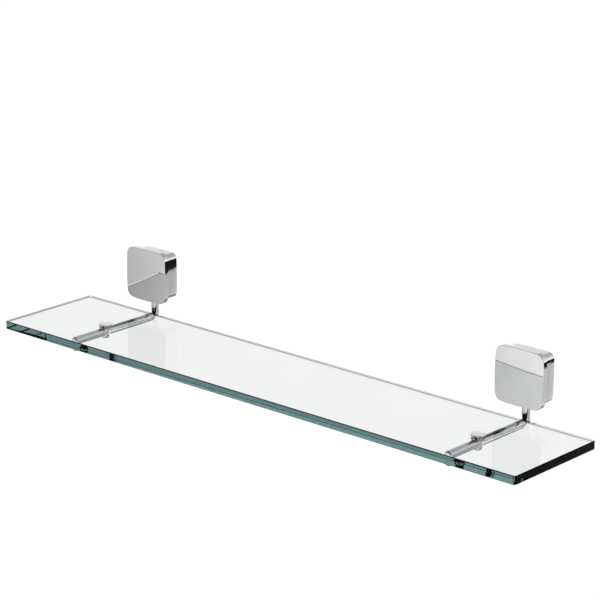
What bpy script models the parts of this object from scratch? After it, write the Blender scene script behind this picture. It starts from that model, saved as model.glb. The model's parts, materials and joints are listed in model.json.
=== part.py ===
"""A glass wall shelf on two chromed brackets.

The origin is on the wall, midway between the brackets, at the height of their centres.
+X is right, +Y goes into the wall and +Z is up, so everything in the room has Y below 0.
Each bracket is built round an empty at its own centre on the wall, and the two are mirror
images: out is the direction along X that leads away from the middle of the shelf.
"""

import math

import bpy
import bmesh

MM = 0.001

# Gaps
SEAT_GAP = 0.1 * MM  # between flat faces that rest on each other
GAP = 0.2 * MM  # between a pin or screw and its hole
PASS = 1.0 * MM  # how far a cutter runs past the face it cuts

# How finely round shapes are divided
ROUND_SIDES = 28
SCREW_SIDES = 16
CORNER_STEPS = 6
BEND_STEPS = 10

# Glass shelf
GLASS_LENGTH = 600 * MM
GLASS_DEPTH = 112 * MM
GLASS_THICKNESS = 8 * MM
GLASS_TOP = -36.6 * MM
GLASS_TO_WALL = 17.3 * MM
GLASS_CORNER = 3 * MM
GLASS_ARRIS = 0.6 * MM
GLASS_BOTTOM = GLASS_TOP - GLASS_THICKNESS

# Bracket heads
BRACKET_OFFSET = 220.6 * MM  # from the middle of the shelf
COVER_SIDE = 51 * MM
COVER_THICKNESS = 5.6 * MM
COVER_CORNER = 8 * MM
COVER_EDGE = 0.8 * MM
HOUSING_SIDE = 44.6 * MM
HOUSING_DEPTH = 14.4 * MM
HOUSING_CORNER = 5.5 * MM
HOUSING_EDGE = 0.5 * MM
HOUSING_WALL = 2 * MM
COVER_BACK = -HOUSING_DEPTH - SEAT_GAP
HOUSING_INSIDE = HOUSING_SIDE / 2 - HOUSING_WALL  # from the centre to the inner walls
HOUSING_FRONT_INSIDE = -HOUSING_DEPTH + HOUSING_WALL

# Wall plate, with the hook that the housing's rib drops behind
PLATE_THICKNESS = 2.5 * MM
PLATE_WIDTH = 36 * MM
PLATE_BOTTOM = -18 * MM
LIP_TOP = 15.5 * MM
LIP_WIDTH = 18 * MM
LIP_REACH = 10 * MM
HOOK_THICKNESS = 2 * MM
HOOK_TOP = 19 * MM
TAB_OFFSET = 12.5 * MM
TAB_WIDTH = 9 * MM
TAB_REACH = 9 * MM
PLATE_HOLE_OFFSET = 11 * MM
PLATE_HOLE_RADIUS = 2.2 * MM
RIB_THICKNESS = 2 * MM
RIB_PLAY = 0.5 * MM  # between the rib and the hook

# Cover screws, on a diagonal
COVER_SCREW_OFFSET = 13 * MM
COVER_SCREW_RADIUS = 1.4 * MM
COVER_SCREW_DEPTH = 2.4 * MM  # into the cover
COVER_SCREW_HEAD = 2.7 * MM
COVER_SCREW_HEAD_HEIGHT = 1.8 * MM

# Rod
ROD_RADIUS = 4 * MM
ROD_TO_WALL = 7.3 * MM
ROD_DROP = 48.8 * MM  # from the bracket's centre down to the axis of the run under the glass
ROD_BEND = 9 * MM
ROD_END_BACK = 14 * MM  # from the glass's front edge back to the rod's end
ROD_END_CHAMFER = 1.4 * MM
THREAD_CHAMFER = 0.6 * MM
THREAD_RADIUS = 2.5 * MM
THREAD_TOP = -12.5 * MM
EYE_RADIUS = 4.6 * MM
ROD_SHOULDER = -HOUSING_SIDE / 2 - SEAT_GAP
NUT_FLATS = 8 * MM
NUT_HEIGHT = 4 * MM
NUT_WASHER_RADIUS = 4.6 * MM
NUT_WASHER_THICKNESS = 1 * MM

# Grub screw in the housing's floor
GRUB_RADIUS = 2 * MM
GRUB_SETBACK = 6 * MM  # from the wall
GRUB_TOP = PLATE_BOTTOM - SEAT_GAP

# Stud through the glass
STUD_TO_WALL = 74.3 * MM
CAP_RADIUS = 6.8 * MM
CAP_THICKNESS = 0.9 * MM
CAP_EDGE = 0.4 * MM
CONE_RADIUS = 5.2 * MM
CONE_DEPTH = 3.6 * MM
STEM_RADIUS = 3 * MM
STEM_WALL = 0.9 * MM
STEM_BOTTOM = -50 * MM
BUSHING_WALL = 0.5 * MM
BUSHING_FLANGE = 0.3 * MM
BUSHING_FLANGE_RADIUS = 6.5 * MM
WASHER_RADIUS = 6 * MM
WASHER_THICKNESS = 0.8 * MM
EYE_TOP = GLASS_BOTTOM - WASHER_THICKNESS - 2 * SEAT_GAP
EYE_BOTTOM = -ROD_DROP - ROD_RADIUS
FLANGE_BOTTOM = GLASS_TOP + SEAT_GAP
CAP_BOTTOM = FLANGE_BOTTOM + BUSHING_FLANGE + SEAT_GAP
CLAMP_RADIUS = 1.9 * MM
CLAMP_TOP = -41.5 * MM
CLAMP_HEAD = 4 * MM
CLAMP_HEAD_HEIGHT = 2.2 * MM
SOCKET_FLATS = 2.5 * MM
SOCKET_DEPTH = 1.2 * MM


# Outlines, as points (u, v) counted anticlockwise


def circle(radius, sides=ROUND_SIDES):
    turns = [2 * math.pi * i / sides for i in range(sides)]
    return [(radius * math.cos(t), radius * math.sin(t)) for t in turns]


def rectangle(width, height):
    return [(u * width / 2, v * height / 2) for u, v in ((1, 1), (-1, 1), (-1, -1), (1, -1))]


def rounded_rectangle(width, height, radius):
    points = []
    for quarter, (side_u, side_v) in enumerate(((1, 1), (-1, 1), (-1, -1), (1, -1))):
        centre_u = side_u * (width / 2 - radius)
        centre_v = side_v * (height / 2 - radius)
        for step in range(CORNER_STEPS + 1):
            turn = (quarter + step / CORNER_STEPS) * math.pi / 2
            points.append((centre_u + radius * math.cos(turn), centre_v + radius * math.sin(turn)))
    return points


def hexagon(flats):
    """Six corners, with two of the flats facing along v."""
    return circle(flats / math.sqrt(3), 6)


def cross(reach, width):
    """A plus sign whose arms end at reach."""
    half = width / 2
    arm = ((reach, -half), (reach, half), (half, half))
    points = []
    for quarter in range(4):
        for u, v in arm:
            for _ in range(quarter):
                u, v = -v, u
            points.append((u, v))
    return points


# Solids


def material(name, colour, roughness, metallic=0.0, transmission=0.0):
    made = bpy.data.materials.new(name)
    made.use_nodes = True
    shader = made.node_tree.nodes["Principled BSDF"]
    shader.inputs["Base Color"].default_value = (*colour, 1.0)
    shader.inputs["Roughness"].default_value = roughness
    shader.inputs["Metallic"].default_value = metallic
    shader.inputs["Transmission Weight"].default_value = transmission
    made.diffuse_color = (*colour, 1.0)
    return made


def loft(name, rings, ring_shaped=False, smooth=True):
    """One closed solid through rings of points: capped at both ends, or going round into its first ring."""
    bm = bmesh.new()
    loops = [[bm.verts.new(point) for point in ring] for ring in rings]
    follows = loops[1:] + loops[:1] if ring_shaped else loops[1:]
    for loop, after in zip(loops, follows):
        for i in range(len(loop)):
            bm.faces.new((loop[i - 1], loop[i], after[i], after[i - 1]))
    if not ring_shaped:
        bm.faces.new(loops[0])
        bm.faces.new(loops[-1])
    bmesh.ops.recalc_face_normals(bm, faces=bm.faces)
    mesh = bpy.data.meshes.new(name)
    bm.to_mesh(mesh)
    bm.free()
    if smooth:
        mesh.shade_smooth()
        mesh.set_sharp_from_angle(angle=math.radians(35))
    return mesh


def along_y(levels):
    """Rings for a shape whose outlines, in X and Z, follow each other along Y."""
    return [[(u, y, v) for u, v in outline] for y, outline in levels]


def along_z(levels):
    """Rings for a shape whose outlines, in X and Y, follow each other along Z."""
    return [[(u, v, z) for u, v in outline] for z, outline in levels]


def turned(profile, sides=ROUND_SIDES):
    """Levels of circles from a profile of (distance, radius) points."""
    return [(distance, circle(radius, sides)) for distance, radius in profile]


def place(name, mesh, finish, location=(0, 0, 0), parent=None):
    mesh.materials.append(finish)
    made = bpy.data.objects.new(name, mesh)
    made.location = location
    made.parent = parent
    bpy.context.scene.collection.objects.link(made)
    return made


def shape_with(target, operation, rings, location):
    """Cuts the rings' solid from the target (DIFFERENCE) or adds it (UNION)."""
    name = f"{target.name}_tool_{len(target.modifiers) + 1}"
    tool = place(name, loft(name, rings), target.data.materials[0], location, target.parent)
    tool.hide_render = True
    tool.display_type = "WIRE"
    change = target.modifiers.new(name, "BOOLEAN")
    change.operation = operation
    change.solver = "EXACT"
    change.object = tool


def cut(target, rings, location=(0, 0, 0)):
    shape_with(target, "DIFFERENCE", rings, location)


def add(target, rings, location=(0, 0, 0)):
    shape_with(target, "UNION", rings, location)


def block(width, low_y, high_y, low_z, high_z):
    """Rings of a square-edged block centred on X = 0."""
    return [
        [(x, low_y, low_z), (x, high_y, low_z), (x, high_y, high_z), (x, low_y, high_z)]
        for x in (-width / 2, width / 2)
    ]


# Pieces


def glass_shelf(finish):
    def outline(inset):
        return rounded_rectangle(
            GLASS_LENGTH - 2 * inset, GLASS_DEPTH - 2 * inset, GLASS_CORNER - inset
        )

    levels = (
        (GLASS_BOTTOM, outline(GLASS_ARRIS)),
        (GLASS_BOTTOM + GLASS_ARRIS, outline(0)),
        (GLASS_TOP - GLASS_ARRIS, outline(0)),
        (GLASS_TOP, outline(GLASS_ARRIS)),
    )
    middle = -GLASS_TO_WALL - GLASS_DEPTH / 2
    shelf = place("glass_shelf", loft("glass_shelf", along_z(levels)), finish, (0, middle, 0))
    hole = [(z, radius + GAP) for z, radius in bushing_outside()]
    mouth = hole[0][1] - hole[1][1]
    hole[0] = (hole[0][0] + PASS, hole[0][1] + PASS * mouth / CONE_DEPTH)
    hole[-1] = (hole[-1][0] - PASS, hole[-1][1])
    for side in (-1, 1):
        cut(shelf, along_z(turned(hole)), (side * BRACKET_OFFSET, -STUD_TO_WALL, 0))


def bushing_outside():
    """The countersunk profile that the stud's bushing has in the glass, from the top down."""
    return (
        (GLASS_TOP, CONE_RADIUS + BUSHING_WALL),
        (GLASS_TOP - CONE_DEPTH, STEM_RADIUS + GAP + BUSHING_WALL),
        (GLASS_BOTTOM, STEM_RADIUS + GAP + BUSHING_WALL),
    )


def bracket_cover(side, out, hub, finish):
    front = COVER_BACK - COVER_THICKNESS

    def outline(inset):
        width = COVER_SIDE - 2 * inset
        return rounded_rectangle(width, width, COVER_CORNER - inset)

    rounding = 3
    levels = []
    for step in range(rounding + 1):
        turn = step / rounding * math.pi / 2
        inset = COVER_EDGE * (1 - math.sin(turn))
        levels.append((front + COVER_EDGE * (1 - math.cos(turn)), outline(inset)))
    levels.append((COVER_BACK - COVER_EDGE / 2, outline(0)))
    levels.append((COVER_BACK, outline(COVER_EDGE / 2)))
    cover = place(f"{side}_cover", loft("cover", along_y(levels)), finish, parent=hub)
    depth = COVER_SCREW_DEPTH + GAP
    hole = turned(
        ((COVER_BACK - depth, COVER_SCREW_RADIUS + GAP), (COVER_BACK + PASS, COVER_SCREW_RADIUS + GAP)),
        SCREW_SIDES,
    )
    for corner in (-1, 1):
        cut(cover, along_y(hole), (corner * out * COVER_SCREW_OFFSET, 0, corner * COVER_SCREW_OFFSET))


def bracket_housing(side, out, hub, finish):
    def outline(inset):
        width = HOUSING_SIDE - 2 * inset
        return rounded_rectangle(width, width, HOUSING_CORNER - inset)

    levels = (
        (-HOUSING_DEPTH, outline(HOUSING_EDGE)),
        (-HOUSING_DEPTH + HOUSING_EDGE, outline(0)),
        (0, outline(0)),
    )
    housing = place(f"{side}_housing", loft("housing", along_y(levels)), finish, parent=hub)
    cut(housing, along_y(((HOUSING_FRONT_INSIDE, outline(HOUSING_WALL)), (PASS, outline(HOUSING_WALL)))))
    rib_front = -LIP_REACH + HOOK_THICKNESS + RIB_PLAY
    add(
        housing,
        block(
            LIP_WIDTH,
            rib_front,
            rib_front + RIB_THICKNESS,
            LIP_TOP + GAP,
            HOUSING_INSIDE + HOUSING_WALL / 2,
        ),
    )
    screw_hole = turned(
        (
            (-HOUSING_DEPTH - PASS, COVER_SCREW_RADIUS + GAP),
            (HOUSING_FRONT_INSIDE + PASS, COVER_SCREW_RADIUS + GAP),
        ),
        SCREW_SIDES,
    )
    for corner in (-1, 1):
        spot = (corner * out * COVER_SCREW_OFFSET, 0, corner * COVER_SCREW_OFFSET)
        cut(housing, along_y(screw_hole), spot)
    for radius, place_x, place_y in (
        (THREAD_RADIUS, 0, -ROD_TO_WALL),
        (GRUB_RADIUS, out * TAB_OFFSET, -GRUB_SETBACK),
    ):
        hole = turned(
            ((-HOUSING_SIDE / 2 - PASS, radius + GAP), (-HOUSING_INSIDE + PASS, radius + GAP)),
            SCREW_SIDES,
        )
        cut(housing, along_z(hole), (place_x, place_y, 0))


def wall_plate(side, hub, finish):
    height = LIP_TOP - PLATE_BOTTOM
    middle = (LIP_TOP + PLATE_BOTTOM) / 2
    base = rounded_rectangle(PLATE_WIDTH, height, 3 * MM)
    levels = (
        (-PLATE_THICKNESS, [(u, v + middle) for u, v in base]),
        (0, [(u, v + middle) for u, v in base]),
    )
    plate = place(f"{side}_wall_plate", loft("wall_plate", along_y(levels)), finish, parent=hub)
    root = -PLATE_THICKNESS / 2
    lip_bottom = LIP_TOP - PLATE_THICKNESS
    add(plate, block(LIP_WIDTH, -LIP_REACH, root, lip_bottom, LIP_TOP))
    add(plate, block(LIP_WIDTH, -LIP_REACH, -LIP_REACH + HOOK_THICKNESS, lip_bottom + GAP, HOOK_TOP))
    for edge in (-1, 1):
        tab = block(TAB_WIDTH, -TAB_REACH, root, PLATE_BOTTOM, PLATE_BOTTOM + PLATE_THICKNESS)
        add(plate, tab, (edge * TAB_OFFSET, 0, 0))
        bore = PLATE_HOLE_RADIUS
        hole = turned(((-PLATE_THICKNESS - PASS, bore), (PASS, bore)), SCREW_SIDES)
        cut(plate, along_y(hole), (edge * PLATE_HOLE_OFFSET, 0, 0))


def pan_head(tip, radius, head_radius, head_height):
    """Profile of a screw lying along its axis: shank from tip to 0, then a domed head up to head_height."""
    return (
        (tip, radius * 0.9),
        (tip + radius / 4, radius),
        (0, radius),
        (0, head_radius),
        (head_height * 0.45, head_radius),
        (head_height * 0.8, head_radius * 0.86),
        (head_height, head_radius * 0.55),
    )


def cross_recess(head_radius, head_height):
    outline = cross(head_radius * 0.55, head_radius * 0.28)
    return ((head_height * 0.45, outline), (head_height + PASS, outline))


def cover_screws(side, out, hub, finish):
    seat = HOUSING_FRONT_INSIDE + SEAT_GAP
    reach = seat - COVER_BACK + COVER_SCREW_DEPTH
    profile = pan_head(-reach, COVER_SCREW_RADIUS, COVER_SCREW_HEAD, COVER_SCREW_HEAD_HEIGHT)
    recess = cross_recess(COVER_SCREW_HEAD, COVER_SCREW_HEAD_HEIGHT)
    for name, corner in (("upper", 1), ("lower", -1)):
        node = f"{side}_cover_screw_{name}"
        spot = (corner * out * COVER_SCREW_OFFSET, seat, corner * COVER_SCREW_OFFSET)
        screw = place(node, loft(node, along_y(turned(profile, SCREW_SIDES))), finish, spot, hub)
        cut(screw, along_y(recess), spot)


def rod_path():
    """Centre and direction of each ring of the rod, from the shoulder under the housing to the front end."""
    bend_top = -ROD_DROP + ROD_BEND
    end = -GLASS_TO_WALL - GLASS_DEPTH + ROD_END_BACK
    stations = [((-ROD_TO_WALL, ROD_SHOULDER), 0.0)]
    for step in range(BEND_STEPS + 1):
        turn = step / BEND_STEPS * math.pi / 2
        y = -ROD_TO_WALL - ROD_BEND * (1 - math.cos(turn))
        z = bend_top - ROD_BEND * math.sin(turn)
        stations.append(((y, z), turn))
    stations.append(((end + ROD_END_CHAMFER, -ROD_DROP), math.pi / 2))
    stations.append(((end, -ROD_DROP), math.pi / 2))
    return stations


def rod(side, hub, finish):
    stations = rod_path()
    rings = []
    for (y, z), turn in stations:
        radius = ROD_RADIUS - ROD_END_CHAMFER if (y, z) == stations[-1][0] else ROD_RADIUS
        rings.append(
            [(u, y + v * math.cos(turn), z - v * math.sin(turn)) for u, v in circle(radius)]
        )
    made = place(f"{side}_rod", loft("rod", rings), finish, parent=hub)
    thread = (
        (ROD_SHOULDER - PASS, THREAD_RADIUS),
        (THREAD_TOP - THREAD_CHAMFER, THREAD_RADIUS),
        (THREAD_TOP, THREAD_RADIUS - THREAD_CHAMFER),
    )
    add(made, along_z(turned(thread, SCREW_SIDES)), (0, -ROD_TO_WALL, 0))
    spot = (0, -STUD_TO_WALL, 0)
    add(made, along_z(turned(((EYE_BOTTOM, EYE_RADIUS), (EYE_TOP + PASS, EYE_RADIUS)))), spot)
    flat = WASHER_RADIUS + GAP
    cut(made, along_z(turned(((EYE_TOP, flat), (GLASS_BOTTOM + PASS, flat)))), spot)
    shelf = STEM_BOTTOM - 2 * GAP
    hole = (
        (EYE_BOTTOM - PASS, CLAMP_RADIUS + GAP),
        (shelf, CLAMP_RADIUS + GAP),
        (shelf, STEM_RADIUS + GAP),
        (EYE_TOP + PASS, STEM_RADIUS + GAP),
    )
    cut(made, along_z(turned(hole)), spot)


def rod_nut_and_washer(side, hub, finish):
    floor = -HOUSING_INSIDE + SEAT_GAP
    bore = THREAD_RADIUS + GAP
    spot = (0, -ROD_TO_WALL, 0)
    top = floor + NUT_WASHER_THICKNESS
    walls = ((floor, NUT_WASHER_RADIUS), (top, NUT_WASHER_RADIUS), (top, bore), (floor, bore))
    node = f"{side}_rod_washer"
    place(node, loft(node, along_z(turned(walls)), ring_shaped=True), finish, spot, hub)

    low = top + SEAT_GAP
    outline = hexagon(NUT_FLATS)
    node = f"{side}_rod_nut"
    nut = place(
        node,
        loft(node, along_z(((low, outline), (low + NUT_HEIGHT, outline))), smooth=False),
        finish,
        spot,
        hub,
    )
    cut(nut, along_z(turned(((low - PASS, bore), (low + NUT_HEIGHT + PASS, bore)), SCREW_SIDES)), spot)


def grub_screw(side, out, hub, finish):
    low = -HOUSING_SIDE / 2 + GAP
    profile = (
        (low, GRUB_RADIUS),
        (GRUB_TOP - GRUB_RADIUS / 3, GRUB_RADIUS),
        (GRUB_TOP, GRUB_RADIUS * 2 / 3),
    )
    node = f"{side}_grub_screw"
    spot = (out * TAB_OFFSET, -GRUB_SETBACK, 0)
    screw = place(node, loft(node, along_z(turned(profile, SCREW_SIDES))), finish, spot, hub)
    socket = hexagon(GRUB_RADIUS)
    cut(screw, along_z(((low - PASS, socket), (low + SOCKET_DEPTH, socket))), spot)


def stud(side, hub, chrome, clear):
    spot = (0, -STUD_TO_WALL, 0)
    top = CAP_BOTTOM + CAP_THICKNESS
    cone_bottom = GLASS_TOP - CONE_DEPTH
    bore = STEM_RADIUS - STEM_WALL
    profile = (
        (STEM_BOTTOM, bore),
        (STEM_BOTTOM, STEM_RADIUS),
        (cone_bottom, STEM_RADIUS),
        (CAP_BOTTOM, CONE_RADIUS - GAP),
        (CAP_BOTTOM, CAP_RADIUS - CAP_EDGE / 2),
        (CAP_BOTTOM + CAP_EDGE / 2, CAP_RADIUS),
        (top - CAP_EDGE, CAP_RADIUS),
        (top - CAP_EDGE * 0.3, CAP_RADIUS - CAP_EDGE * 0.3),
        (top, CAP_RADIUS - CAP_EDGE),
    )
    node = f"{side}_stud_cap"
    cap = place(node, loft(node, along_z(turned(profile))), chrome, spot, hub)
    depth = turned(((STEM_BOTTOM - PASS, CLAMP_RADIUS + GAP), (CLAMP_TOP + PASS, CLAMP_RADIUS + GAP)))
    cut(cap, along_z(depth), spot)

    outside = bushing_outside()
    flange_top = FLANGE_BOTTOM + BUSHING_FLANGE
    walls = (
        (flange_top, BUSHING_FLANGE_RADIUS),
        (FLANGE_BOTTOM, BUSHING_FLANGE_RADIUS),
        (FLANGE_BOTTOM, outside[0][1]),
        *outside[1:],
        (GLASS_BOTTOM, STEM_RADIUS + GAP),
        (cone_bottom, STEM_RADIUS + GAP),
        (flange_top, CONE_RADIUS + GAP),
    )
    node = f"{side}_stud_bushing"
    place(node, loft(node, along_z(turned(walls)), ring_shaped=True), clear, spot, hub)

    low = EYE_TOP + SEAT_GAP
    high = low + WASHER_THICKNESS
    hole = STEM_RADIUS + GAP
    walls = ((low, WASHER_RADIUS), (high, WASHER_RADIUS), (high, hole), (low, hole))
    node = f"{side}_glass_washer"
    place(node, loft(node, along_z(turned(walls)), ring_shaped=True), clear, spot, hub)

    seat = EYE_BOTTOM - SEAT_GAP
    profile = pan_head(seat - CLAMP_TOP, CLAMP_RADIUS, CLAMP_HEAD, CLAMP_HEAD_HEIGHT)
    levels = [(seat - z, circle(radius)) for z, radius in profile]
    node = f"{side}_clamp_screw"
    screw = place(node, loft(node, along_z(levels)), chrome, spot, hub)
    socket = hexagon(SOCKET_FLATS)
    low = seat - CLAMP_HEAD_HEIGHT
    cut(screw, along_z(((low - PASS, socket), (low + SOCKET_DEPTH, socket))), spot)


def main():
    for old in list(bpy.data.objects):
        bpy.data.objects.remove(old, do_unlink=True)

    glass = material("glass", (0.75, 0.93, 0.9), 0.0, transmission=1.0)
    chrome = material("chrome", (0.82, 0.83, 0.84), 0.04, metallic=1.0)
    steel = material("zinc_steel", (0.62, 0.63, 0.64), 0.35, metallic=1.0)
    clear = material("clear_plastic", (0.93, 0.94, 0.92), 0.15, transmission=0.9)

    glass_shelf(glass)
    for side, out in (("left", -1), ("right", 1)):
        hub = bpy.data.objects.new(f"{side}_bracket", None)
        hub.location = (out * BRACKET_OFFSET, 0, 0)
        bpy.context.scene.collection.objects.link(hub)
        bracket_cover(side, out, hub, chrome)
        bracket_housing(side, out, hub, chrome)
        wall_plate(side, hub, steel)
        cover_screws(side, out, hub, steel)
        rod(side, hub, chrome)
        rod_nut_and_washer(side, hub, steel)
        grub_screw(side, out, hub, steel)
        stud(side, hub, chrome, clear)


main()
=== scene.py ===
"""Looks for the glass wall shelf on two chromed brackets.

Metres, in the CAD model's frame: the origin is on the wall between the brackets, +X right,
+Y into the wall, +Z up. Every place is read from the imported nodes' boxes.
"""

import json
import math

import bmesh
import bpy
from mathutils import Matrix, Vector


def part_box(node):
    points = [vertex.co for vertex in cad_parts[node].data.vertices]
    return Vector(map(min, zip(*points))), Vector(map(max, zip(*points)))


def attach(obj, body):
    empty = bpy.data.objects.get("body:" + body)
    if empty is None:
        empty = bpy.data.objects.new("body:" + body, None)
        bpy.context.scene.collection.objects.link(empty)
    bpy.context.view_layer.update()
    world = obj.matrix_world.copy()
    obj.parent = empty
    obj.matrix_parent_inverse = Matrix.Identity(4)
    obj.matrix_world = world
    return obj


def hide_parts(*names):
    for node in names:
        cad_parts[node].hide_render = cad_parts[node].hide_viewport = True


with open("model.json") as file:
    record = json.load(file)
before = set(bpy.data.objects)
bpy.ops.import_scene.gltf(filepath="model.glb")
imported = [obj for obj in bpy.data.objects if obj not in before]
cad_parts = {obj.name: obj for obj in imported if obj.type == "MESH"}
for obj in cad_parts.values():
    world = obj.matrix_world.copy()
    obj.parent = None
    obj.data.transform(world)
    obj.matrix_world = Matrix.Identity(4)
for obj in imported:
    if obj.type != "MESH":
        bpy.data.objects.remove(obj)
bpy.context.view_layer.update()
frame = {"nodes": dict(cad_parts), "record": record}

MM = 0.001
SIDES = ("left", "right")

# How finely round shapes are divided
ROUND = 64
SCREW_ROUND = 40
ROD_ROUND = 56
BEND_STEPS = 28
CORNER_STEPS = 14
SIDE_STEPS = 8
EDGE_STEPS = 6
DOME_STEPS = 8
ARC_STEPS = 4
SHARP_ANGLE = 32  # degrees
WASHER_SHARP_ANGLE = 60

# Gaps
SEAT_GAP = 0.1 * MM  # between flat faces that rest on each other
GAP = 0.2 * MM  # between a pin or screw and its hole
PASS = 1 * MM  # how far a cutter runs past the face it cuts

# Cover and housing, pressed from sheet: every face is very slightly domed
FRONT_BOW = 800 * MM  # radius of the cover's front across its width
SIDE_BOW = 340 * MM  # radius of the cover's narrow sides
HOUSING_BOW = 450 * MM  # radius of the housing's sides
FRONT_LEAN = math.radians(0.17)  # how far the cover's front looks down
COVER_CORNER = 8 * MM
COVER_EDGE = 0.25 * MM
COVER_BACK_EDGE = 0.4 * MM
COVER_RINGS = (0.3, 0.6, 1.5, 3.0, 5.0, 7.4)  # insets of the front's rings, in mm
COVER_SCREW_BORE = 1.6 * MM
HOUSING_CORNER = 5.5 * MM
HOUSING_EDGE = 0.5 * MM
HOUSING_WALL = 2 * MM
HOUSING_RIM_EDGE = 0.15 * MM
GRUB_BORE = 2.2 * MM
RIB_HALF_WIDTH = 9 * MM
RIB_FRONT = 2.5 * MM  # behind the front of the wall plate's hook
RIB_BACK = 4.5 * MM
RIB_BOTTOM = 15.7 * MM

# Rod
ROD_RADIUS = 4 * MM
ROD_BEND = 9 * MM
ROD_TIP_EDGE = 1.8 * MM
ROD_TOP_EDGE = 0.2 * MM
THREAD_RADIUS = 2.5 * MM
THREAD_TIP_RADIUS = 2.0 * MM
THREAD_TIP = 0.5 * MM
THREAD_BORE = 2.7 * MM
EYE_RADIUS = 4.6 * MM
EYE_EDGE = 0.35 * MM
EYE_EDGE_STEP = 0.1 * MM
EYE_FLAT_RADIUS = 6.2 * MM
STEM_TO_SHELF = 0.4 * MM  # from the stem's end down to the step inside the eye

# Glass
GLASS_CORNER = 3 * MM
GLASS_ARRIS = 0.7 * MM
HOLE_FLARE = 2 * MM  # how much wider the countersunk hole is at the top
ARRIS_TILT = (0.3, 0.9)  # the arrises are the faces whose normal rises by this much

# Studs
CONE_DEPTH = 3.6 * MM
CONE_FLARE = 2.0 * MM
CAP_EDGE = 0.3 * MM
STEM_RADIUS = 3 * MM
BUSHING_WALL = 0.5 * MM
WASHER_EDGE = 0.2 * MM
SCREW_RADIUS = 1.9 * MM
SCREW_TIP_EDGE = 0.3 * MM
SCREW_HEAD_HEIGHT = 2.2 * MM
DOME_ANGLE = math.radians(62)
DOME_FOOT = 0.25  # share of the head's height below its dome
SOCKET_FLATS = 2.5 * MM
SOCKET_DEPTH = 1.2 * MM

# Materials
GLASS_INDEX = 1.52
GLASS_TINT = (0.094, 0.376, 0.382)
GLASS_DENSITY = 17.0
MIRROR_FALL = 1.6  # above 1, the glass mirrors less than bare glass does

# Camera
CAMERA_PLACE = (1.39298, -1.63768, 0.68701)
CAMERA_AZIMUTH = math.radians(41.230)  # from straight in front, towards +X
CAMERA_ELEVATION = math.radians(17.305)
CAMERA_ROLL = math.radians(0.417)
LENS = 149.907
SENSOR = 36.0

# Studio. Directions are in degrees, seen from the shelf: heights above the horizon, and turns from
# straight into the wall, positive towards +X.
WARM_WHITE = (1.0, 0.965, 0.965, 1.0)
FULL_LIGHT = 1.07
DARK_LIGHT = 0.012
FLOOR_LIGHT = (
    (-180, 1.07),
    (-160, 1.03),
    (-147, 0.88),
    (-138, 0.72),
    (-130, 0.54),
    (-118, 0.56),
    (-106, 0.80),
    (-92, 1.07),
    (16, 1.07),
    (34, 0.76),
    (46, 0.47),
    (75, 0.46),
    (104, 0.56),
    (128, 1.07),
    (180, 1.07),
)  # (turn, brightness) of the floor
RAMP_TOP = 2.0  # brightness that a colour ramp's 1 stands for
SKY_LIGHT = (
    (0.0, 1.0),
    (0.06, 0.97),
    (0.14, 0.84),
    (0.25, 0.76),
    (0.4, 0.48),
    (0.5, 0.43),
    (1.0, 0.43),
)  # (share of the way from the horizon to straight up, brightness)
BELOW_SHELF = (-42, -31)  # heights over which the floor brightens outwards
BELOW_SHELF_LIGHT = 0.25
FLOOR_TO_SKY = (-16, -12)
FRONT_TURNS = (97, 106)
FRONT_HEIGHTS = (-8.5, -6.0)
BAND_LEFT, BAND_RIGHT = (12, 18), (76, 82)
BAND_BOTTOM, BAND_TOP = (-15.6, -15.0), (-5, -3)
FLOOR_LEVEL = -1.2
FLOOR_REACH = 16.0
FLOOR_RIGHT = 3.0
FLOOR_NOTCH_FRONT = -0.6


# Meshes


def circle(radius, sides=ROUND, u=0.0, v=0.0):
    turns = [2 * math.pi * i / sides for i in range(sides)]
    return [(u + radius * math.cos(t), v + radius * math.sin(t)) for t in turns]


def bowed_square(side, corner, bow, inset=0.0):
    """Points and outward directions round a square whose sides bulge as arcs of radius bow."""
    half = side / 2
    start = math.acos((bow - half) / (bow - corner) / math.sqrt(2)) - math.pi / 4
    arc_centre = half - bow
    centre = (bow - corner) * math.sin(start)
    points = []
    for quarter in range(4):
        turn = quarter * math.pi / 2
        steps = [
            (arc_centre, 0.0, bow, start * (2 * i / SIDE_STEPS - 1)) for i in range(SIDE_STEPS)
        ]
        sweep = math.pi / 2 - 2 * start
        steps += [
            (centre, centre, corner, start + sweep * i / CORNER_STEPS) for i in range(CORNER_STEPS)
        ]
        for cu, cv, radius, angle in steps:
            u = cu + (radius - inset) * math.cos(angle)
            v = cv + (radius - inset) * math.sin(angle)
            c, s = math.cos(turn), math.sin(turn)
            points.append((u * c - v * s, u * s + v * c))
    return points


def rounded_rectangle(width, depth, corner):
    points = []
    for quarter, (su, sv) in enumerate(((1, 1), (-1, 1), (-1, -1), (1, -1))):
        for step in range(CORNER_STEPS + 1):
            turn = (quarter + step / CORNER_STEPS) * math.pi / 2
            points.append(
                (
                    su * (width / 2 - corner) + corner * math.cos(turn),
                    sv * (depth / 2 - corner) + corner * math.sin(turn),
                )
            )
    return points


def loft(name, rings, joined=False, sharp=SHARP_ANGLE):
    """A closed mesh through rings of points; a ring of one point closes an end as a fan."""
    bm = bmesh.new()
    loops = [[bm.verts.new(p) for p in ring] for ring in rings]
    pairs = list(zip(loops, loops[1:]))
    if joined:
        pairs.append((loops[-1], loops[0]))
    for a, b in pairs:
        count = max(len(a), len(b))
        for i in range(count):
            j = (i + 1) % count
            corners = (a[i % len(a)], a[j % len(a)], b[j % len(b)], b[i % len(b)])
            bm.faces.new(list(dict.fromkeys(corners)))
    if not joined:
        for loop in (loops[0], loops[-1]):
            if len(loop) > 2:
                bm.faces.new(loop)
    bmesh.ops.recalc_face_normals(bm, faces=bm.faces)
    mesh = bpy.data.meshes.new(name)
    bm.to_mesh(mesh)
    bm.free()
    smooth(mesh, sharp)
    return mesh


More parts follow.
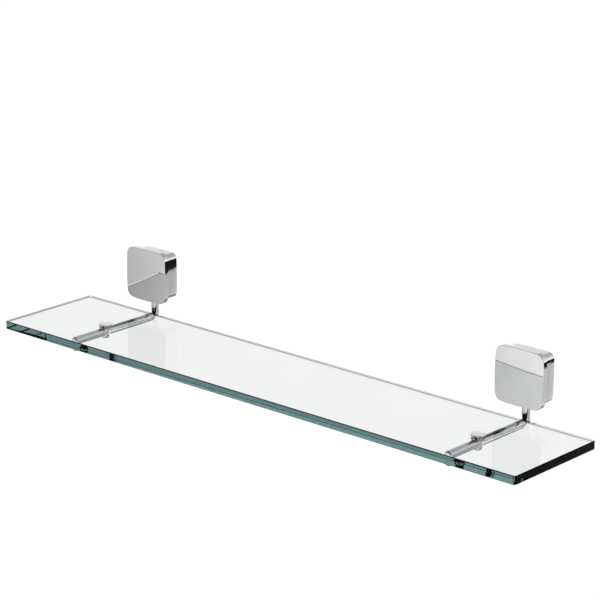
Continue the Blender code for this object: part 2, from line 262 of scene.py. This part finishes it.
def smooth(mesh, sharp):
    mesh.shade_smooth()
    mesh.set_sharp_from_angle(angle=math.radians(sharp))


def along_y(levels):
    return [[(u, y, v) for u, v in outline] for y, outline in levels]


def along_z(levels):
    return [[(u, v, z) for u, v in outline] for z, outline in levels]


def turned(profile, sides=ROUND, u=0.0, v=0.0):
    """Levels of circles for (height, radius) points; a radius of 0 is one point."""
    return [(h, circle(r, sides, u, v) if r > 0 else [(u, v)]) for h, r in profile]


def rounded(profile, radius):
    """The (height, radius) profile with each inner corner turned into a small arc."""
    most = 0.45  # of the edge on either side of the corner
    made = [profile[0]]
    for before, corner, after in zip(profile, profile[1:], profile[2:]):
        corner = Vector(corner)
        to_before, to_after = Vector(before) - corner, Vector(after) - corner
        reach = min(radius, to_before.length * most, to_after.length * most)
        start = corner + to_before.normalized() * reach
        end = corner + to_after.normalized() * reach
        for i in range(ARC_STEPS + 1):
            t = i / ARC_STEPS
            made.append(tuple(start * (1 - t) ** 2 + corner * 2 * t * (1 - t) + end * t**2))
    return made + [profile[-1]]


def move(mesh, offset):
    mesh.transform(Matrix.Translation(offset))
    return mesh


def carve(name, mesh, cuts, adds=()):
    """The mesh with the cuts' meshes taken out of it and the adds' meshes joined to it."""
    target = bpy.data.objects.new(name, mesh)
    bpy.context.scene.collection.objects.link(target)
    tools = []
    for operation, tool_meshes in (("UNION", adds), ("DIFFERENCE", cuts)):
        for tool_mesh in tool_meshes:
            tool = bpy.data.objects.new(f"{name}_tool", tool_mesh)
            bpy.context.scene.collection.objects.link(tool)
            change = target.modifiers.new("change", "BOOLEAN")
            change.operation = operation
            change.solver = "EXACT"
            change.object = tool
            tools.append(tool)
    graph = bpy.context.evaluated_depsgraph_get()
    made = bpy.data.meshes.new_from_object(target.evaluated_get(graph))
    for spent in (target, *tools):
        bpy.data.objects.remove(spent, do_unlink=True)
    smooth(made, SHARP_ANGLE)
    return made


def piece(name, mesh, material, node):
    mesh.materials.clear()
    mesh.materials.append(material)
    made = bpy.data.objects.new(name, mesh)
    bpy.context.scene.collection.objects.link(made)
    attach(made, "root")
    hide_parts(node)


# Materials


class Nodes:
    """Builds a node tree a line at a time."""

    def __init__(self, tree):
        self.tree = tree

    def add(self, kind, inputs=None, **settings):
        node = self.tree.nodes.new(kind)
        for key, value in settings.items():
            setattr(node, key, value)
        for key, value in (inputs or {}).items():
            if isinstance(value, bpy.types.NodeSocket):
                self.tree.links.new(value, node.inputs[key])
            else:
                node.inputs[key].default_value = value
        return node

    def math(self, operation, *values):
        return self.add("ShaderNodeMath", dict(enumerate(values)), operation=operation).outputs[0]

    def spread(self, value, low, high, to_low, to_high, curve="SMOOTHSTEP"):
        made = self.add(
            "ShaderNodeMapRange",
            {"Value": value, "From Min": low, "From Max": high, "To Min": to_low, "To Max": to_high},
            interpolation_type=curve,
        )
        return made.outputs[0]

    def noise(self, place, scale, detail=3.0, roughness=0.55):
        settings = {"Vector": place, "Scale": scale, "Detail": detail, "Roughness": roughness}
        return self.add("ShaderNodeTexNoise", settings).outputs[0]

    def ramp(self, value, stops, curve="LINEAR"):
        made = self.add("ShaderNodeValToRGB", {"Fac": value})
        made.color_ramp.interpolation = curve
        steps = made.color_ramp.elements
        while len(steps) < len(stops):
            steps.new(0.5)
        for step, (position, colour) in zip(steps, stops):
            step.position = position
            step.color = (*colour, 1.0)
        return made.outputs[0]


def new_material(name):
    made = bpy.data.materials.new(name)
    made.use_nodes = True
    shader = made.node_tree.nodes["Principled BSDF"]
    nodes = Nodes(made.node_tree)
    place = nodes.add("ShaderNodeTexCoord").outputs["Object"]
    return made, shader, nodes, place


def chrome_material():
    """Bright chrome plate: nearly a mirror, with faint haze and the plating's slight ripple."""
    made, shader, nodes, place = new_material("chrome_plate")
    cloud = nodes.noise(place, 45.0)
    tint = nodes.ramp(cloud, ((0.3, (0.80, 0.81, 0.82)), (0.7, (0.86, 0.865, 0.87))))
    haze = nodes.spread(nodes.noise(place, 160.0), 0.35, 0.7, 0.025, 0.05)
    ripple = nodes.add(
        "ShaderNodeBump",
        {"Height": nodes.noise(place, 260.0, 1.0), "Strength": 0.12, "Distance": 4e-6},
    )
    nodes.tree.links.new(tint, shader.inputs["Base Color"])
    nodes.tree.links.new(haze, shader.inputs["Roughness"])
    nodes.tree.links.new(ripple.outputs[0], shader.inputs["Normal"])
    shader.inputs["Metallic"].default_value = 1.0
    return made


def zinc_material():
    """Zinc-plated steel: dull silver with a faint warm and blue bloom and a fine grain."""
    made, shader, nodes, place = new_material("zinc_plate")
    bloom = nodes.noise(place, 140.0, 4.0)
    tint = nodes.ramp(
        bloom, ((0.3, (0.50, 0.52, 0.56)), (0.5, (0.60, 0.60, 0.60)), (0.72, (0.66, 0.63, 0.56)))
    )
    grain = nodes.noise(place, 2600.0, 2.0)
    rough = nodes.spread(nodes.noise(place, 420.0), 0.3, 0.7, 0.28, 0.46)
    bump = nodes.add("ShaderNodeBump", {"Height": grain, "Strength": 0.25, "Distance": 2e-5})
    nodes.tree.links.new(tint, shader.inputs["Base Color"])
    nodes.tree.links.new(rough, shader.inputs["Roughness"])
    nodes.tree.links.new(bump.outputs[0], shader.inputs["Normal"])
    shader.inputs["Metallic"].default_value = 1.0
    return made


def glass_material():
    """Float glass: nearly colourless across its thickness, green along its length. It mirrors light at
    its faces more weakly than bare glass does, as through the polarising filter of a product shot. It
    still mirrors fully from inside, so its edges gather colour."""
    made, shader, nodes, place = new_material("float_glass")
    nodes.tree.nodes.remove(shader)
    fresnel = nodes.add("ShaderNodeFresnel", {"IOR": GLASS_INDEX}).outputs[0]
    share = nodes.math("POWER", fresnel, MIRROR_FALL)
    smear = nodes.ramp(nodes.noise(place, 9.0), ((0.3, (0.985,) * 3), (0.6, (1.0,) * 3)))
    bent = nodes.add(
        "ShaderNodeBsdfRefraction", {"Color": smear, "Roughness": 0.0, "IOR": GLASS_INDEX}
    )
    mirrored = nodes.add("ShaderNodeBsdfGlossy", {"Color": (1, 1, 1, 1), "Roughness": 0.0})
    mix = nodes.add("ShaderNodeMixShader", {0: share, 1: bent.outputs[0], 2: mirrored.outputs[0]})
    output = nodes.tree.nodes["Material Output"]
    nodes.tree.links.new(mix.outputs[0], output.inputs["Surface"])
    absorb = nodes.add(
        "ShaderNodeVolumeAbsorption", {"Color": (*GLASS_TINT, 1.0), "Density": GLASS_DENSITY}
    )
    nodes.tree.links.new(absorb.outputs[0], output.inputs["Volume"])
    return made


def ground_arris_painted_shade_material():
    """The front arrises as opaque dark green. The glass there is ground, but its darkness is painted
    shade standing in for the dark lines the front edge shows.
    """
    made, shader, nodes, place = new_material("ground_arris_painted_shade")
    grain = nodes.noise(place, 1500.0)
    tint = nodes.ramp(grain, ((0.3, (0.05, 0.085, 0.08)), (0.7, (0.10, 0.15, 0.145))))
    nodes.tree.links.new(tint, shader.inputs["Base Color"])
    shader.inputs["Roughness"].default_value = 0.5
    return made


def clear_plastic_material():
    """Slightly milky, slightly yellow clear plastic."""
    made, shader, nodes, place = new_material("clear_plastic")
    cloud = nodes.noise(place, 350.0)
    tint = nodes.ramp(cloud, ((0.3, (0.93, 0.93, 0.87)), (0.7, (0.97, 0.97, 0.92))))
    nodes.tree.links.new(tint, shader.inputs["Base Color"])
    shader.inputs["Roughness"].default_value = 0.12
    shader.inputs["IOR"].default_value = 1.46
    shader.inputs["Transmission Weight"].default_value = 1.0
    return made


# Pieces


def box_of(node):
    low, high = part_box(node)
    return low, high, (low + high) / 2


def glass_plate(material, arris_shade):
    low, high, middle = box_of("glass_shelf")
    size = high - low

    def outline(inset):
        return rounded_rectangle(size.x - 2 * inset, size.y - 2 * inset, GLASS_CORNER - inset)

    levels = (
        (low.z, outline(GLASS_ARRIS)),
        (low.z + GLASS_ARRIS, outline(0)),
        (high.z - GLASS_ARRIS, outline(0)),
        (high.z, outline(GLASS_ARRIS)),
    )
    plate = move(loft("glass_plate", along_z(levels)), (middle.x, middle.y, 0))
    cuts = []
    narrow = STEM_RADIUS + BUSHING_WALL + 2 * GAP
    for side in SIDES:
        _, _, stud = box_of(f"{side}_stud_cap")
        wide = narrow + HOLE_FLARE
        slope = (wide - narrow) / CONE_DEPTH
        hole = (
            (high.z + PASS, wide + PASS * slope),
            (high.z - CONE_DEPTH, narrow),
            (low.z - PASS, narrow),
        )
        cuts.append(move(loft("hole", along_z(turned(hole))), (stud.x, stud.y, 0)))
    made = carve("glass_plate", plate, cuts)
    piece("glass_plate", made, material, "glass_shelf")
    # The front arrises take the dark material: painted shade along the glass's front edge.
    made.materials.append(arris_shade)
    for face in made.polygons:
        at_front = face.center.y < low.y + GLASS_CORNER
        tilted = ARRIS_TILT[0] < abs(face.normal.z) < ARRIS_TILT[1]
        face.material_index = int(at_front and tilted)


def cover_plate(side, material):
    low, high, middle = box_of(f"{side}_cover")
    width = high.x - low.x
    lean = math.tan(FRONT_LEAN)
    front = low.y + lean * width / 2

    def outline(inset):
        return bowed_square(width, COVER_CORNER, SIDE_BOW, inset)

    def front_y(x, z):
        return front + x * x / (2 * FRONT_BOW) - lean * z

    rings = [[(x, high.y, z) for x, z in outline(COVER_BACK_EDGE)]]
    rings.append([(x, high.y - COVER_BACK_EDGE, z) for x, z in outline(0)])
    rim = outline(COVER_EDGE)
    for step in range(EDGE_STEPS * 2 + 1):
        turn = (1 - step / (EDGE_STEPS * 2)) * math.pi / 2
        inset = COVER_EDGE * (1 - math.sin(turn))
        rings.append(
            [
                (x, front_y(*at) + COVER_EDGE * (1 - math.cos(turn)), z)
                for (x, z), at in zip(outline(inset), rim)
            ]
        )
    for inset in COVER_RINGS:
        rings.append([(x, front_y(x, z), z) for x, z in outline(inset * MM)])
    inner = outline(COVER_RINGS[-1] * MM)
    for share in (0.8, 0.6, 0.4, 0.2):
        rings.append([(x * share, front_y(x * share, z * share), z * share) for x, z in inner])
    rings.append([(0.0, front_y(0, 0), 0.0)])
    mesh = loft(f"{side}_cover_plate", rings)
    mesh = move(mesh, (middle.x, 0, middle.z))
    cuts = []
    for screw in ("upper", "lower"):
        tip, _, spot = box_of(f"{side}_cover_screw_{screw}")
        hole = turned(
            ((tip.y - GAP, COVER_SCREW_BORE), (high.y + PASS, COVER_SCREW_BORE)), SCREW_ROUND
        )
        cuts.append(move(loft("hole", along_y(hole)), (spot.x, 0, spot.z)))
    made = carve(f"{side}_cover_plate", mesh, cuts)
    piece(f"{side}_cover_plate", made, material, f"{side}_cover")


def housing_shell(side, material):
    low, high, middle = box_of(f"{side}_housing")
    width = high.x - low.x

    def outer(inset):
        return bowed_square(width, HOUSING_CORNER, HOUSING_BOW, inset)

    def inner(shrink=1.0):
        return [(x * shrink, z * shrink) for x, z in outer(HOUSING_WALL)]

    rings = [[(0.0, low.y, 0.0)]]
    for share in (0.3, 0.6, 0.9):
        rings.append([(x * share, low.y, z * share) for x, z in outer(HOUSING_EDGE)])
    for step in range(EDGE_STEPS + 1):
        turn = step / EDGE_STEPS * math.pi / 2
        inset = HOUSING_EDGE * (1 - math.sin(turn))
        y = low.y + HOUSING_EDGE * (1 - math.cos(turn))
        rings.append([(x, y, z) for x, z in outer(inset)])
    rings.append([(x, high.y - HOUSING_RIM_EDGE, z) for x, z in outer(0)])
    rings.append([(x, high.y, z) for x, z in outer(HOUSING_RIM_EDGE)])
    rings.append([(x, high.y, z) for x, z in outer(HOUSING_WALL - HOUSING_RIM_EDGE)])
    rings.append([(x, high.y - HOUSING_RIM_EDGE, z) for x, z in inner()])
    floor = low.y + HOUSING_WALL
    rings.append([(x, floor, z) for x, z in inner()])
    rings.append([(x, floor, z) for x, z in inner(0.5)])
    rings.append([(0.0, floor, 0.0)])
    mesh = move(loft(f"{side}_housing_shell", rings), (middle.x, 0, middle.z))

    cuts = []
    for screw in ("upper", "lower"):
        _, _, spot = box_of(f"{side}_cover_screw_{screw}")
        hole = turned(
            ((low.y - PASS, COVER_SCREW_BORE), (floor + PASS, COVER_SCREW_BORE)), SCREW_ROUND
        )
        cuts.append(move(loft("hole", along_y(hole)), (spot.x, 0, spot.z)))
    _, _, nut = box_of(f"{side}_rod_nut")
    _, _, grub = box_of(f"{side}_grub_screw")
    for spot, radius in ((nut, THREAD_BORE), (grub, GRUB_BORE)):
        hole = turned(((low.z - PASS, radius), (low.z + HOUSING_WALL + PASS, radius)), SCREW_ROUND)
        cuts.append(move(loft("hole", along_z(hole)), (spot.x, spot.y, 0)))
    plate_low, _, _ = box_of(f"{side}_wall_plate")
    front, back = plate_low.y + RIB_FRONT, plate_low.y + RIB_BACK
    bottom, top = RIB_BOTTOM, high.z - HOUSING_WALL / 2
    rib = [
        [(x, front, bottom), (x, back, bottom), (x, back, top), (x, front, top)]
        for x in (middle.x - RIB_HALF_WIDTH, middle.x + RIB_HALF_WIDTH)
    ]
    made = carve(f"{side}_housing_shell", mesh, cuts, [loft("rib", rib)])
    piece(f"{side}_housing_shell", made, material, f"{side}_housing")


def rod_bar(side, material):
    low, high, middle = box_of(f"{side}_rod")
    stud_low, _, stud = box_of(f"{side}_stud_cap")
    housing_low, _, _ = box_of(f"{side}_housing")
    axis_y = high.y - ROD_RADIUS
    axis_z = low.z + ROD_RADIUS
    shoulder = housing_low.z - SEAT_GAP
    bend_z = axis_z + ROD_BEND
    stations = [
        ((axis_y, shoulder), 0.0, ROD_RADIUS - ROD_TOP_EDGE),
        ((axis_y, shoulder - ROD_TOP_EDGE), 0.0, ROD_RADIUS),
    ]
    for step in range(BEND_STEPS + 1):
        turn = step / BEND_STEPS * math.pi / 2
        y = axis_y - ROD_BEND * (1 - math.cos(turn))
        z = bend_z - ROD_BEND * math.sin(turn)
        stations.append(((y, z), turn, ROD_RADIUS))
    for step in range(EDGE_STEPS + 1):
        turn = step / EDGE_STEPS * math.pi / 2
        y = low.y + ROD_TIP_EDGE * (1 - math.sin(turn))
        radius = ROD_RADIUS - ROD_TIP_EDGE * (1 - math.cos(turn))
        stations.append(((y, axis_z), math.pi / 2, radius))
    rings = []
    for (y, z), turn, radius in stations:
        rings.append(
            [(u, y + v * math.cos(turn), z - v * math.sin(turn)) for u, v in circle(radius, ROD_ROUND)]
        )
    mesh = move(loft(f"{side}_rod_bar", rings), (middle.x, 0, 0))
    thread = turned(
        (
            (shoulder - PASS, THREAD_RADIUS),
            (high.z - THREAD_TIP, THREAD_RADIUS),
            (high.z, THREAD_TIP_RADIUS),
        ),
        SCREW_ROUND,
    )
    washer_low, _, _ = box_of(f"{side}_glass_washer")
    eye_top = washer_low.z - SEAT_GAP
    eye = turned(
        (
            (low.z, 0.0),
            (low.z, EYE_RADIUS - EYE_EDGE),
            (low.z + EYE_EDGE_STEP, EYE_RADIUS - EYE_EDGE_STEP),
            (low.z + EYE_EDGE, EYE_RADIUS),
            (eye_top + PASS, EYE_RADIUS),
            (eye_top + PASS, 0.0),
        )
    )
    flat = turned(((eye_top, EYE_FLAT_RADIUS), (eye_top + 3 * PASS, EYE_FLAT_RADIUS)))
    shelf = stud_low.z - STEM_TO_SHELF
    hole = turned(
        (
            (low.z - PASS, SCREW_RADIUS + GAP),
            (shelf, SCREW_RADIUS + GAP),
            (shelf, STEM_RADIUS + GAP),
            (eye_top + PASS, STEM_RADIUS + GAP),
        )
    )
    here = (stud.x, stud.y, 0)
    cuts = [move(loft("flat", along_z(flat)), here), move(loft("hole", along_z(hole)), here)]
    adds = [
        move(loft("thread", along_z(thread)), (middle.x, axis_y, 0)),
        move(loft("eye", along_z(eye)), here),
    ]
    made = carve(f"{side}_rod_bar", mesh, cuts, adds)
    piece(f"{side}_rod_bar", made, material, f"{side}_rod")


def stud_parts(side, chrome, clear):
    cap_low, cap_high, spot = box_of(f"{side}_stud_cap")
    bush_low, bush_high, _ = box_of(f"{side}_stud_bushing")
    wash_low, wash_high, _ = box_of(f"{side}_glass_washer")
    screw_low, screw_high, _ = box_of(f"{side}_clamp_screw")
    _, glass_high, _ = box_of("glass_shelf")
    cap_radius = (cap_high.x - cap_low.x) / 2
    cap_bottom = bush_high.z + SEAT_GAP
    cone_bottom = glass_high.z - CONE_DEPTH
    cone = STEM_RADIUS + CONE_FLARE
    bore = SCREW_RADIUS + GAP
    here = (spot.x, spot.y, 0)
    profile = [
        (screw_high.z + PASS, 0.0),
        (screw_high.z + PASS, bore),
        (cap_low.z, bore),
        (cap_low.z, STEM_RADIUS),
        (cone_bottom, STEM_RADIUS),
        (cap_bottom, cone),
        (cap_bottom, cap_radius),
        (cap_high.z, cap_radius),
        (cap_high.z, 0.0),
    ]
    mesh = move(loft(f"{side}_stud_disc", along_z(turned(rounded(profile, CAP_EDGE)))), here)
    piece(f"{side}_stud_disc", mesh, chrome, f"{side}_stud_cap")

    flange_low = glass_high.z + SEAT_GAP
    outer = STEM_RADIUS + GAP + BUSHING_WALL
    flange = (bush_high.x - bush_low.x) / 2
    walls = [
        (bush_high.z, flange),
        (flange_low, flange),
        (flange_low, cone + GAP + BUSHING_WALL),
        (cone_bottom, outer),
        (bush_low.z, outer),
        (bush_low.z, STEM_RADIUS + GAP),
        (cone_bottom, STEM_RADIUS + GAP),
        (bush_high.z, cone + GAP),
    ]
    mesh = move(loft(f"{side}_bushing_sleeve", along_z(turned(walls)), joined=True), here)
    piece(f"{side}_bushing_sleeve", mesh, clear, f"{side}_stud_bushing")

    outer = (wash_high.x - wash_low.x) / 2
    walls = along_z(
        turned(
            [
                (wash_low.z, outer - WASHER_EDGE),
                (wash_low.z + WASHER_EDGE, outer),
                (wash_high.z - WASHER_EDGE, outer),
                (wash_high.z, outer - WASHER_EDGE),
                (wash_high.z, STEM_RADIUS + GAP),
                (wash_low.z, STEM_RADIUS + GAP),
            ]
        )
    )
    mesh = loft(f"{side}_washer_ring", walls, joined=True, sharp=WASHER_SHARP_ANGLE)
    piece(f"{side}_washer_ring", move(mesh, here), clear, f"{side}_glass_washer")

    seat = screw_low.z + SCREW_HEAD_HEIGHT
    head = (screw_high.x - screw_low.x) / 2
    height = seat - screw_low.z
    dome = [(seat, head)]
    for step in range(1, DOME_STEPS + 1):
        turn = step / DOME_STEPS * DOME_ANGLE
        drop = DOME_FOOT + (1 - DOME_FOOT) * math.sin(turn) / math.sin(DOME_ANGLE)
        dome.append((seat - height * drop, head * math.cos(turn)))
    profile = [
        (screw_high.z, 0.0),
        (screw_high.z, SCREW_RADIUS - SCREW_TIP_EDGE),
        (screw_high.z - SCREW_TIP_EDGE, SCREW_RADIUS),
        (seat, SCREW_RADIUS),
        *dome,
        (screw_low.z, 0.0),
    ]
    mesh = move(loft(f"{side}_clamp_dome", along_z(turned(profile))), here)
    socket = circle(SOCKET_FLATS / math.sqrt(3), 6)
    socket = along_z(((screw_low.z - PASS, socket), (screw_low.z + SOCKET_DEPTH, socket)))
    mesh = carve(f"{side}_clamp_dome", mesh, [move(loft("socket", socket), here)])
    piece(f"{side}_clamp_dome", mesh, chrome, f"{side}_clamp_screw")


# Studio


def camera():
    sideways, level = math.sin(CAMERA_AZIMUTH), math.cos(CAMERA_ELEVATION)
    right = Vector((math.cos(CAMERA_AZIMUTH), sideways, 0))
    back = Vector(
        (sideways * level, -math.cos(CAMERA_AZIMUTH) * level, math.sin(CAMERA_ELEVATION))
    )
    up = back.cross(right)
    right, up = (
        right * math.cos(CAMERA_ROLL) + up * math.sin(CAMERA_ROLL),
        up * math.cos(CAMERA_ROLL) - right * math.sin(CAMERA_ROLL),
    )
    lens = bpy.data.cameras.new("camera")
    lens.lens = LENS
    lens.sensor_width = SENSOR
    lens.clip_start = 0.05
    lens.clip_end = 200.0
    made = bpy.data.objects.new("camera", lens)
    facing = Matrix((right, up, back)).transposed().to_4x4()
    made.matrix_world = Matrix.Translation(CAMERA_PLACE) @ facing
    bpy.context.scene.collection.objects.link(made)
    bpy.context.scene.camera = made


def studio_light(nodes, direction):
    """How bright the studio is along a direction from the shelf: a pale sweep all round, darker below
    the shelf and overhead, with the dark room showing over its front edge and as a band behind and to
    the right of the shelf."""
    split = nodes.add("ShaderNodeSeparateXYZ", {0: direction}).outputs
    degrees = 180 / math.pi
    height = nodes.math("MULTIPLY", nodes.math("ARCSINE", split[2]), degrees)
    turn = nodes.math("MULTIPLY", nodes.math("ARCTAN2", split[0], split[1]), degrees)
    share = nodes.spread(turn, -180, 180, 0, 1, "LINEAR")
    low = nodes.ramp(share, [((a + 180) / 360, (v / RAMP_TOP,) * 3) for a, v in FLOOR_LIGHT])
    low = nodes.math("MULTIPLY", low, RAMP_TOP)
    rise = nodes.spread(height, 0, 90, 0, 1, "LINEAR")
    sky = nodes.ramp(rise, [(at, (v,) * 3) for at, v in SKY_LIGHT], "EASE")
    sky = nodes.math("MULTIPLY", sky, FULL_LIGHT)
    steep = nodes.spread(height, *BELOW_SHELF, BELOW_SHELF_LIGHT, 1.0)
    upper = nodes.spread(height, *FLOOR_TO_SKY, 0, 1)
    low = nodes.math("MULTIPLY", low, steep)
    light = nodes.add("ShaderNodeMix", {0: upper, 2: low, 3: sky}).outputs[0]
    front = nodes.math(
        "MULTIPLY",
        nodes.spread(nodes.math("ABSOLUTE", turn), *FRONT_TURNS, 0, 1),
        nodes.spread(height, *FRONT_HEIGHTS, 0, 1),
    )
    across = nodes.math(
        "MULTIPLY", nodes.spread(turn, *BAND_LEFT, 0, 1), nodes.spread(turn, *BAND_RIGHT, 1, 0)
    )
    upward = nodes.math(
        "MULTIPLY", nodes.spread(height, *BAND_BOTTOM, 0, 1), nodes.spread(height, *BAND_TOP, 1, 0)
    )
    dark = nodes.math("MAXIMUM", front, nodes.math("MULTIPLY", across, upward))
    return nodes.add("ShaderNodeMix", {0: dark, 2: light, 3: DARK_LIGHT}).outputs[0]


def studio():
    world = bpy.data.worlds.new("studio")
    bpy.context.scene.world = world
    world.use_nodes = True
    nodes = Nodes(world.node_tree)
    direction = nodes.add("ShaderNodeTexCoord").outputs["Generated"]
    background = world.node_tree.nodes["Background"]
    world.node_tree.links.new(studio_light(nodes, direction), background.inputs["Strength"])
    background.inputs["Color"].default_value = WARM_WHITE

    bm = bmesh.new()
    corners = (
        (-FLOOR_REACH, -FLOOR_REACH),
        (FLOOR_REACH, -FLOOR_REACH),
        (FLOOR_REACH, FLOOR_NOTCH_FRONT),
        (FLOOR_RIGHT, 0.0),
        (FLOOR_RIGHT, FLOOR_RIGHT),
        (FLOOR_RIGHT, FLOOR_REACH),
        (-FLOOR_REACH, FLOOR_REACH),
    )
    bm.faces.new([bm.verts.new((x, y, FLOOR_LEVEL)) for x, y in corners])
    bmesh.ops.recalc_face_normals(bm, faces=bm.faces)
    mesh = bpy.data.meshes.new("floor")
    bm.to_mesh(mesh)
    bm.free()
    # The floor glows instead of being lit. Its emission paints the studio's light onto it, with
    # painted shade below the shelf and dark bands painted where the room is dark.
    made, shader, nodes, place = new_material("floor_painted_glow")
    direction = nodes.add("ShaderNodeVectorMath", {0: place}, operation="NORMALIZE").outputs[0]
    nodes.tree.links.new(studio_light(nodes, direction), shader.inputs["Emission Strength"])
    shader.inputs["Emission Color"].default_value = WARM_WHITE
    shader.inputs["Base Color"].default_value = (0.02, 0.02, 0.02, 1)
    shader.inputs["Roughness"].default_value = 1.0
    shader.inputs["Specular IOR Level"].default_value = 0.0
    mesh.materials.append(made)
    floor = bpy.data.objects.new("floor", mesh)
    bpy.context.scene.collection.objects.link(floor)


def main():
    chrome, zinc = chrome_material(), zinc_material()
    glass, clear = glass_material(), clear_plastic_material()
    finish = {
        "chrome": chrome,
        "zinc_steel": zinc,
        "glass": glass,
        "clear_plastic": clear,
    }
    for part in frame["record"]["subparts"]:
        shown = frame["nodes"][part["node"]]
        for entry in shown.material_slots:
            entry.material = finish[part["material_slot"]]
    glass_plate(glass, ground_arris_painted_shade_material())
    for side in SIDES:
        cover_plate(side, chrome)
        housing_shell(side, chrome)
        rod_bar(side, chrome)
        stud_parts(side, chrome, clear)
    studio()
    camera()
    bpy.context.scene.view_settings.view_transform = "Standard"


main()
